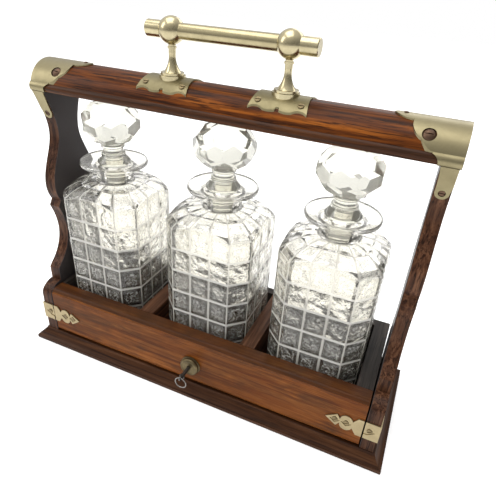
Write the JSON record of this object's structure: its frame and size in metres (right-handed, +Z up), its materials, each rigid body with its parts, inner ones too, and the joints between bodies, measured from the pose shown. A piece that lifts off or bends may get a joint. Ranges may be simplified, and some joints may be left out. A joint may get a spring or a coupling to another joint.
{
  "type": "tantalus",
  "caption": "Lockable wooden decanter stand: square cut-glass decanters in a tray with a drop front, held under a scroll-ended carrying frame that swings back.",
  "frame": {"origin": "on the table, under the middle of the plinth", "axes": "+Z up, the flap faces -Y, +X to the right seen from the front"},
  "size_m": [0.3502, 0.1343, 0.3052],
  "materials": {
    "figured_wood": "french polished, striped figure",
    "dark_wood": "polished, dark",
    "stained_wood": "stained near black, satin",
    "baize": "wool baize",
    "brass": "satin, lightly tarnished",
    "steel": "dull",
    "glass": "cut and polished"
  },
  "bodies": {
    "tray": {"plinth_front": "dark_wood", "plinth_back": "dark_wood", "plinth_left": "dark_wood", "plinth_right": "dark_wood", "base_board": "stained_wood", "base_baize": "baize", "tray_end_left": "stained_wood", "tray_end_right": "stained_wood", "tray_back": "stained_wood", "divider_left": "stained_wood", "divider_right": "stained_wood", "floor_mats": "baize", "flap_lug_left": "brass", "flap_lug_right": "brass", "flap_pins": "steel", "frame_pivots": "steel", "frame_stops": "steel"},
    "carrying_frame": {"top_rail": "figured_wood", "upright_left": "dark_wood", "upright_right": "dark_wood", "corner_cap_left": "brass", "corner_cap_right": "brass", "cap_screws": "brass", "upright_strap_left": "brass", "upright_strap_right": "brass", "upright_strap_screws": "brass", "pivot_bush_left": "brass", "pivot_bush_right": "brass", "handle_plate_left": "brass", "handle_plate_right": "brass", "handle_plate_screws": "brass", "handle_post_left": "brass", "handle_post_right": "brass", "handle_ball_left": "brass", "handle_ball_right": "brass", "handle_bar": "brass", "handle_end_left": "brass", "handle_end_right": "brass"},
    "flap": {"front_flap": "figured_wood", "flap_strap_left": "brass", "flap_strap_right": "brass", "flap_strap_screws": "brass", "lock_collar": "brass", "lock_case": "steel", "lock_cover": "brass"},
    "pinion": {"lock_pinion": "brass"},
    "bolt_left": {"lock_bolt_left": "steel"},
    "bolt_right": {"lock_bolt_right": "steel"},
    "key": {"key": "steel"},
    "key_ring": {"key_ring": "steel"},
    "decanter_left": {"decanter_left": "glass"},
    "stopper_left": {"stopper_left": "glass"},
    "decanter_middle": {"decanter_middle": "glass"},
    "stopper_middle": {"stopper_middle": "glass"},
    "decanter_right": {"decanter_right": "glass"},
    "stopper_right": {"stopper_right": "glass"}
  },
  "joints": [
    {"name": "frame_swing", "type": "hinge", "parent": "tray", "child": "carrying_frame", "pos_m": [0, 0.0334, 0.0324], "axis": [-1, 0, 0], "range_deg": [0, 55]},
    {"name": "flap_drop", "type": "hinge", "parent": "tray", "child": "flap", "pos_m": [0, -0.049, 0.0169], "axis": [1, 0, 0], "range_deg": [0, 60]},
    {"name": "lock_turn", "type": "hinge", "parent": "flap", "child": "pinion", "pos_m": [0, -0.0435, 0.03359], "axis": [0, -1, 0], "range_deg": [0, 90]},
    {"name": "bolt_left_slide", "type": "slide", "parent": "flap", "child": "bolt_left", "axis": [-1, 0, 0], "range_m": [0, 0.00706]},
    {"name": "bolt_right_slide", "type": "slide", "parent": "flap", "child": "bolt_right", "axis": [1, 0, 0], "range_m": [0, 0.00707]},
    {"name": "key_withdraw", "type": "slide", "parent": "pinion", "child": "key", "axis": [0, 1, 0], "range_m": [-0.022, 0]},
    {"name": "key_ring_swing", "type": "hinge", "parent": "key", "child": "key_ring", "pos_m": [0, -0.071, 0.03359], "axis": [1, 0, 0], "range_deg": [-60, 40]},
    {"name": "decanter_left_lift", "type": "slide", "parent": "tray", "child": "decanter_left", "axis": [0, 0, 1], "range_m": [0, 0.002]},
    {"name": "stopper_left_turn", "type": "hinge", "parent": "decanter_left", "child": "stopper_left", "pos_m": [-0.10896, 0.0023, 0.1814], "axis": [0, 0, 1], "continuous": true},
    {"name": "decanter_middle_lift", "type": "slide", "parent": "tray", "child": "decanter_middle", "axis": [0, 0, 1], "range_m": [0, 0.002]},
    {"name": "stopper_middle_turn", "type": "hinge", "parent": "decanter_middle", "child": "stopper_middle", "pos_m": [-0.00104, 0.0023, 0.1814], "axis": [0, 0, 1], "continuous": true},
    {"name": "decanter_right_lift", "type": "slide", "parent": "tray", "child": "decanter_right", "axis": [0, 0, 1], "range_m": [0, 0.002]},
    {"name": "stopper_right_turn", "type": "hinge", "parent": "decanter_right", "child": "stopper_right", "pos_m": [0.09889, 0.0023, 0.1814], "axis": [0, 0, 1], "continuous": true}
  ],
  "couplings": [
    {"joint": "lock_turn", "follows": "bolt_left_slide", "rad_per_m": 222.22},
    {"joint": "bolt_right_slide", "follows": "bolt_left_slide", "ratio": 1}
  ]
}
